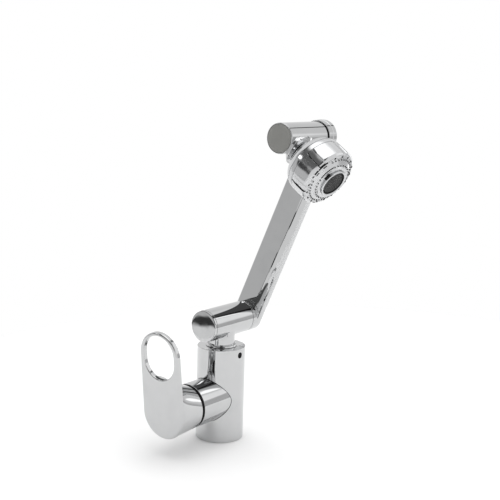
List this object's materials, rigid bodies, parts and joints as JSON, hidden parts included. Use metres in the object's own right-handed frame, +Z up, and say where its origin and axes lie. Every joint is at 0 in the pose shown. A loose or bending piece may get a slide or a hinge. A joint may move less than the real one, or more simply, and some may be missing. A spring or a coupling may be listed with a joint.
{
  "type": "swivel spout kitchen mixer",
  "caption": "Deck mounted single lever kitchen mixer: a swivelling body neck, a folding flat arm and a ball jointed spray head, worked by a ring shaped side lever.",
  "frame": {"origin": "centre of the body's foot, on the face that rests on the deck", "axes": "+Z up along the body and the spout's swivel axis, -Y forward the way the arm leans, -X towards the lever along the cartridge's axis"},
  "size_m": [0.142, 0.1703, 0.3219],
  "materials": {
    "chrome": "mirror polished chrome plating",
    "chrome_plastic": "chrome plated moulding, mirror polished",
    "steel": "fine turned stainless steel",
    "brass": "turned brass",
    "rubber": "smooth matt seal rubber",
    "black_plastic": "smooth low friction moulding",
    "white_plastic": "smooth moulding",
    "grey_plastic": "fine moulded mesh"
  },
  "bodies": {
    "deck_body": {"body_casting": "chrome", "base_gasket": "rubber", "neck_thrust_washer": "white_plastic", "neck_top_bearing": "white_plastic", "neck_slip_washer": "black_plastic", "swivel_set_screw": "steel", "cartridge": "white_plastic", "cartridge_port_seals": "rubber", "cartridge_nut": "brass", "lever_dust_ring": "black_plastic"},
    "neck": {"swivel_neck": "chrome", "neck_seals": "rubber", "lower_end_cap": "chrome", "lower_cap_seal": "rubber"},
    "arm": {"arm": "chrome", "lower_spigot": "brass", "lower_spigot_seals": "rubber", "lower_slip_ring": "black_plastic", "lower_clamp_washer": "steel", "lower_clamp_screw": "steel", "upper_spigot": "brass", "upper_spigot_seals": "rubber", "upper_slip_ring": "black_plastic", "upper_circlip": "steel"},
    "outlet_knuckle": {"upper_knuckle": "chrome", "upper_end_cap": "chrome", "upper_cap_seal": "rubber", "outlet_nut": "chrome", "outlet_washer": "rubber"},
    "outlet_ball": {"ball_stud": "chrome"},
    "spray_head": {"ball_ring": "chrome", "ball_seat": "white_plastic", "spray_body": "chrome_plastic", "rim_ring": "chrome_plastic", "spray_face": "chrome_plastic", "flow_divider": "white_plastic", "aerator_housing": "chrome", "aerator_insert": "grey_plastic"},
    "spray_selector": {"selector_tab": "black_plastic"},
    "lever_hub": {"lever_hub": "steel", "hub_circlip": "steel"},
    "lever": {"lever": "chrome", "lever_hinge_pin": "steel"},
    "spindle": {"spindle": "steel", "spindle_pin": "steel"}
  },
  "joints": [
    {"name": "spout_swivel", "type": "hinge", "parent": "deck_body", "child": "neck", "pos_m": [0, 0, 0.0948], "axis": [0, 0, 1], "continuous": true},
    {"name": "arm_fold", "type": "hinge", "parent": "neck", "child": "arm", "pos_m": [0, 0, 0.11848], "axis": [1, 0, 0], "range_deg": [-40, 65]},
    {"name": "knuckle_turn", "type": "hinge", "parent": "arm", "child": "outlet_knuckle", "pos_m": [0, -0.08156, 0.30623], "axis": [1, 0, 0], "range_deg": [-90, 90]},
    {"name": "ball_spin", "type": "hinge", "parent": "outlet_knuckle", "child": "outlet_ball", "pos_m": [-0.0158, -0.10499, 0.2909], "axis": [0, -0.8368, -0.5476], "continuous": true},
    {"name": "head_tilt", "type": "hinge", "parent": "outlet_ball", "child": "spray_head", "pos_m": [-0.0158, -0.10499, 0.2909], "axis": [0, -0.5476, 0.8368], "range_deg": [-6.4, 17.6]},
    {"name": "selector_slide", "type": "slide", "parent": "spray_head", "child": "spray_selector", "axis": [-0.4518, 0.525, -0.7213], "range_m": [0, 0.003]},
    {"name": "lever_turn", "type": "hinge", "parent": "deck_body", "child": "lever_hub", "pos_m": [0, 0, 0.04305], "axis": [-1, 0, 0], "range_deg": [-50, 50]},
    {"name": "lever_lift", "type": "hinge", "parent": "lever_hub", "child": "lever", "pos_m": [-0.0534, 0, 0.02415], "axis": [0, -1, 0], "range_deg": [0, 18]},
    {"name": "spindle_slide", "type": "slide", "parent": "lever_hub", "child": "spindle", "axis": [-1, 0, 0], "range_m": [0, 0.0065]}
  ],
  "couplings": [
    {"joint": "spindle_slide", "follows": "lever_lift", "m_per_rad": 0.0205}
  ]
}
